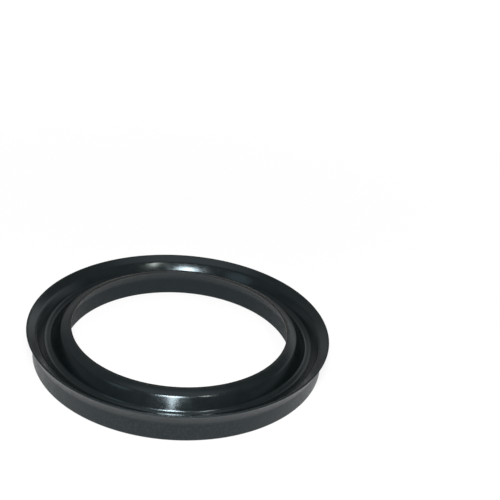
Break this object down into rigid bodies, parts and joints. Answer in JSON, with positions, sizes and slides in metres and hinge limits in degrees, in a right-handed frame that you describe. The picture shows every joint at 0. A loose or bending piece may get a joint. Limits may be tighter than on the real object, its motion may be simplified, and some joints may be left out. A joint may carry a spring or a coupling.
{
  "type": "concrete pump pipe seal",
  "caption": "Moulded black rubber ring seal of U section, with a flat heel, flared inner and outer lips and a round-bottomed groove that grout pressure spreads to seal a pipe joint.",
  "frame": {"origin": "centre of the heel's flat face, on the ring's axis", "axes": "+Z along the ring's axis, from the flat heel towards the lips; X and Y are alike, because the ring is round"},
  "size_m": [0.178, 0.178, 0.0184],
  "materials": {
    "rubber": "black moulded rubber, satin on the heel and walls, glossier in the groove and on the lips"
  },
  "bodies": {
    "root": {"seal_ring": "rubber"}
  },
  "joints": []
}
